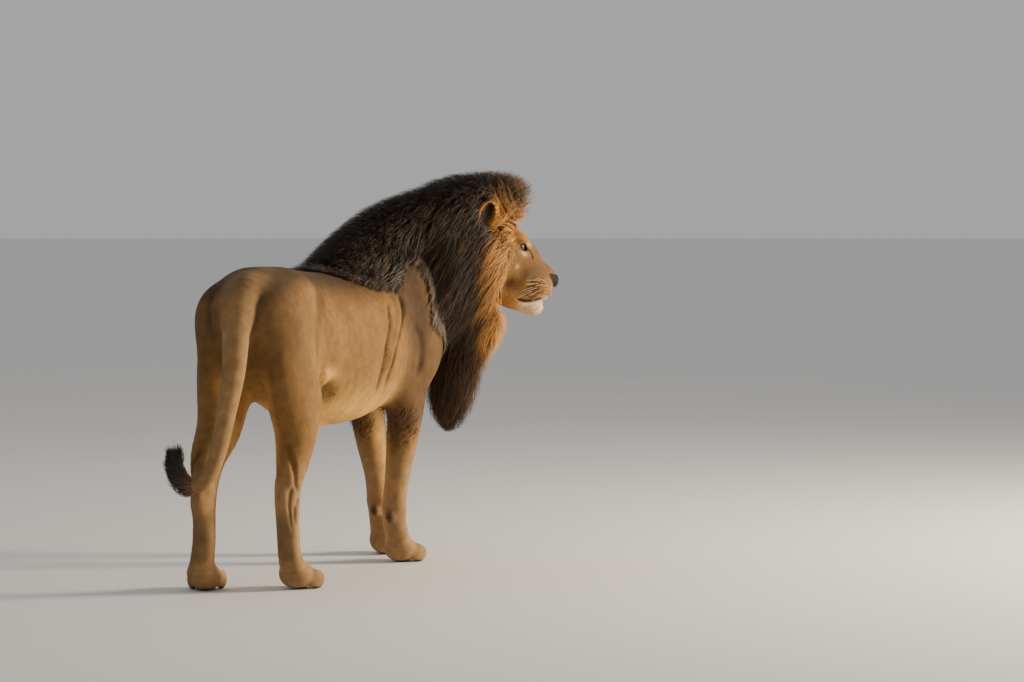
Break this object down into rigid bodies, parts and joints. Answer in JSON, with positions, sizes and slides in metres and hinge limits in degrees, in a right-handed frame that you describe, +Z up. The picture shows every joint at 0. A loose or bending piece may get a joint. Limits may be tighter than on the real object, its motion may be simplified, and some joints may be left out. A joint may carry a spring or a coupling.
{
  "type": "lion",
  "caption": "Standing male lion, still and life-size, with a full dark mane, the head turned to its right and the tail hanging in a hook.",
  "frame": {"origin": "middle of the bounding box in plan, on the floor under the paws", "axes": "+Z up; the lion faces -Y with its tail towards +Y and its right side towards -X; the head is turned to its right"},
  "size_m": [0.7308, 1.7196, 1.3335],
  "materials": {
    "coat": "short tawny fur",
    "pale_coat": "short pale fur",
    "face_coat": "short golden fur",
    "mane": "long dark hair",
    "nose_leather": "bare damp skin",
    "eye": "wet, glossy"
  },
  "bodies": {
    "root": {"head": "face_coat", "lower_jaw": "pale_coat", "nose": "nose_leather", "ear_left": "face_coat", "ear_right": "face_coat", "eye_left": "eye", "eye_right": "eye", "neck": "mane", "mane_withers": "mane", "mane_chest": "mane", "chest": "coat", "belly": "coat", "hindquarters": "coat", "tail_base": "coat", "tail_mid": "coat", "tail_tuft": "mane", "leg_front_left": "coat", "leg_front_right": "coat", "paw_front_left": "pale_coat", "paw_front_right": "pale_coat", "leg_hind_left": "coat", "leg_hind_right": "coat", "foot_hind_left": "coat", "foot_hind_right": "coat", "paw_hind_left": "pale_coat", "paw_hind_right": "pale_coat"}
  },
  "joints": []
}
